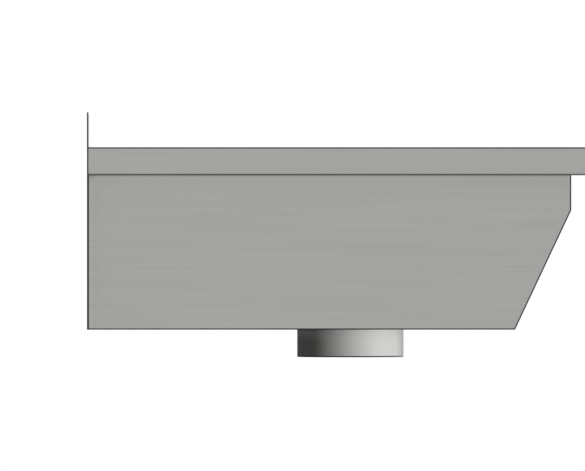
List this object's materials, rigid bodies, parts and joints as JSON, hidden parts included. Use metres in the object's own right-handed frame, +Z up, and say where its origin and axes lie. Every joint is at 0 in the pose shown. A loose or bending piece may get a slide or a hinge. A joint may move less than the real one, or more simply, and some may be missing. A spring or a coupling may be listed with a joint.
{
  "type": "stainless steel wash trough",
  "caption": "Long wall-hung wash trough of folded stainless sheet with sloping front, overhanging rim, low upstand, round outlet spigot at one end and a lift-out strainer.",
  "frame": {"origin": "on the wall plane, at mid-length, level with the top of the rim", "axes": "+X along the wall, to the right as seen from the room; +Y into the wall; +Z up"},
  "size_m": [0.9, 0.36, 0.175],
  "materials": {
    "stainless": "satin, fine grain",
    "bracket_steel": "mill finish",
    "fastener_steel": "bright",
    "damping": "matt",
    "seal_rubber": "matt",
    "strainer_steel": "polished"
  },
  "bodies": {
    "trough": {"back_panel": "stainless", "trough_sheet": "stainless", "left_end_panel": "stainless", "right_end_panel": "stainless", "front_rim_rail": "stainless", "left_rim_rail": "stainless", "right_rim_rail": "stainless", "back_ledge": "stainless", "outlet_spigot": "stainless", "floor_stiffener": "stainless", "left_wall_bracket": "bracket_steel", "right_wall_bracket": "bracket_steel", "bracket_studs": "fastener_steel", "bracket_washers": "fastener_steel", "bracket_nuts": "fastener_steel", "left_damping_pad": "damping", "right_damping_pad": "damping"},
    "strainer": {"strainer_seal": "seal_rubber", "strainer_basket": "strainer_steel", "strainer_knob": "strainer_steel", "knob_washer": "fastener_steel", "knob_screw": "fastener_steel"}
  },
  "joints": [
    {"name": "strainer_lift", "type": "slide", "parent": "trough", "child": "strainer", "axis": [0, 0, 1], "range_m": [0, 0.18]}
  ]
}
